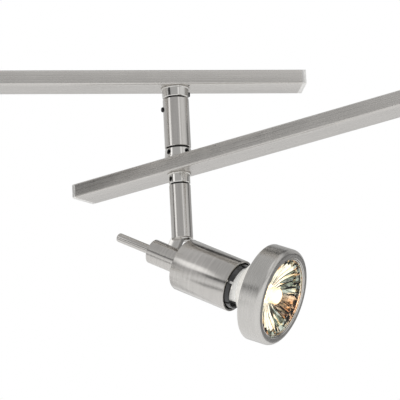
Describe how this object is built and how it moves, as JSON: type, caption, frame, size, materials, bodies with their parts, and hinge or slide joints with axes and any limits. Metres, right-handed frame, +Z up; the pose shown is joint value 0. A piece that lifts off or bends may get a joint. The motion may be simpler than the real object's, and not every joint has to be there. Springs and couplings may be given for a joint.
{
  "type": "track lighting fixture",
  "caption": "Ceiling light: a fixed flat bar under a round canopy, with swinging flat arms on posts, and spotlights that turn and tilt under the arms.",
  "frame": {"origin": "centre of the canopy's ceiling face, in the plane of the ceiling, midway between the ceiling-box screw slots", "axes": "+Z up into the ceiling, X along the fixed upper bar, Y across it"},
  "size_m": [0.8938, 0.512, 0.246],
  "materials": {
    "satin_nickel": "satin, brushed along the bars and round the tubes",
    "polished_nickel": "polished",
    "pale_cap": "matt",
    "zinc_plate": "zinc plated",
    "black_oxide": "black",
    "black_ceramic": "matt black",
    "dichroic_glass": "faceted mirror coat inside",
    "lit_quartz": "lit lamp capsule",
    "clear_glass": "clear",
    "orange_nylon": "moulded",
    "lead_sheath": "plastic insulation"
  },
  "bodies": {
    "ceiling_frame": {"canopy": "satin_nickel", "crossbar": "zinc_plate", "canopy_screws": "polished_nickel", "wire_nuts": "orange_nylon", "supply_leads": "lead_sheath", "upper_bar": "satin_nickel", "upper_end_caps": "pale_cap", "post_tubes": "satin_nickel", "post_collars": "polished_nickel", "post_screws": "black_oxide"},
    "right_arm": {"right_arm_bar": "satin_nickel", "right_arm_end_caps": "pale_cap", "right_arm_collars": "polished_nickel", "right_arm_grub_screws": "black_oxide", "right_arm_bushings": "black_oxide"},
    "left_arm": {"left_arm_bar": "satin_nickel", "left_arm_end_caps": "pale_cap", "left_arm_collars": "polished_nickel", "left_arm_grub_screws": "black_oxide", "left_arm_bushings": "black_oxide"},
    "right_near_swivel": {"right_near_stem": "satin_nickel", "right_near_tilt_pin": "polished_nickel"},
    "right_near_head": {"right_near_neck": "satin_nickel", "right_near_barrel": "satin_nickel", "right_near_aiming_rod": "satin_nickel", "right_near_lamp_holder": "black_ceramic", "right_near_reflector": "dichroic_glass", "right_near_capsule": "lit_quartz", "right_near_lens": "clear_glass", "right_near_trim_ring": "satin_nickel"},
    "right_far_swivel": {"right_far_stem": "satin_nickel", "right_far_tilt_pin": "polished_nickel"},
    "right_far_head": {"right_far_neck": "satin_nickel", "right_far_barrel": "satin_nickel", "right_far_aiming_rod": "satin_nickel", "right_far_lamp_holder": "black_ceramic", "right_far_reflector": "dichroic_glass", "right_far_capsule": "lit_quartz", "right_far_lens": "clear_glass", "right_far_trim_ring": "satin_nickel"},
    "left_near_swivel": {"left_near_stem": "satin_nickel", "left_near_tilt_pin": "polished_nickel"},
    "left_near_head": {"left_near_neck": "satin_nickel", "left_near_barrel": "satin_nickel", "left_near_aiming_rod": "satin_nickel", "left_near_lamp_holder": "black_ceramic", "left_near_reflector": "dichroic_glass", "left_near_capsule": "lit_quartz", "left_near_lens": "clear_glass", "left_near_trim_ring": "satin_nickel"},
    "left_far_swivel": {"left_far_stem": "satin_nickel", "left_far_tilt_pin": "polished_nickel"},
    "left_far_head": {"left_far_neck": "satin_nickel", "left_far_barrel": "satin_nickel", "left_far_aiming_rod": "satin_nickel", "left_far_lamp_holder": "black_ceramic", "left_far_reflector": "dichroic_glass", "left_far_capsule": "lit_quartz", "left_far_lens": "clear_glass", "left_far_trim_ring": "satin_nickel"}
  },
  "joints": [
    {"name": "right_arm_swing", "type": "hinge", "parent": "ceiling_frame", "child": "right_arm", "pos_m": [0.2, 0, -0.1236], "axis": [0, 0, 1], "range_deg": [-42.5, 137.5]},
    {"name": "left_arm_swing", "type": "hinge", "parent": "ceiling_frame", "child": "left_arm", "pos_m": [-0.2, 0, -0.1236], "axis": [0, 0, 1], "range_deg": [-42.5, 137.5]},
    {"name": "right_near_head_pan", "type": "hinge", "parent": "right_arm", "child": "right_near_swivel", "pos_m": [0.2, 0, -0.14], "axis": [0, 0, 1], "range_deg": [-175, 175]},
    {"name": "right_near_head_tilt", "type": "hinge", "parent": "right_near_swivel", "child": "right_near_head", "pos_m": [0.2, 0, -0.1675], "axis": [0.5299, 0.848, 0], "range_deg": [-39, 45]},
    {"name": "right_far_head_pan", "type": "hinge", "parent": "right_arm", "child": "right_far_swivel", "pos_m": [0.37565, -0.19169, -0.14], "axis": [0, 0, 1], "range_deg": [-175, 175]},
    {"name": "right_far_head_tilt", "type": "hinge", "parent": "right_far_swivel", "child": "right_far_head", "pos_m": [0.37565, -0.19169, -0.1675], "axis": [0.5299, 0.848, 0], "range_deg": [-39, 45]},
    {"name": "left_near_head_pan", "type": "hinge", "parent": "left_arm", "child": "left_near_swivel", "pos_m": [-0.2, 0, -0.14], "axis": [0, 0, 1], "range_deg": [-175, 175]},
    {"name": "left_near_head_tilt", "type": "hinge", "parent": "left_near_swivel", "child": "left_near_head", "pos_m": [-0.2, 0, -0.1675], "axis": [-0.5299, -0.848, 0], "range_deg": [-39, 45]},
    {"name": "left_far_head_pan", "type": "hinge", "parent": "left_arm", "child": "left_far_swivel", "pos_m": [-0.37565, 0.19169, -0.14], "axis": [0, 0, 1], "range_deg": [-175, 175]},
    {"name": "left_far_head_tilt", "type": "hinge", "parent": "left_far_swivel", "child": "left_far_head", "pos_m": [-0.37565, 0.19169, -0.1675], "axis": [-0.5299, -0.848, 0], "range_deg": [-39, 45]}
  ]
}
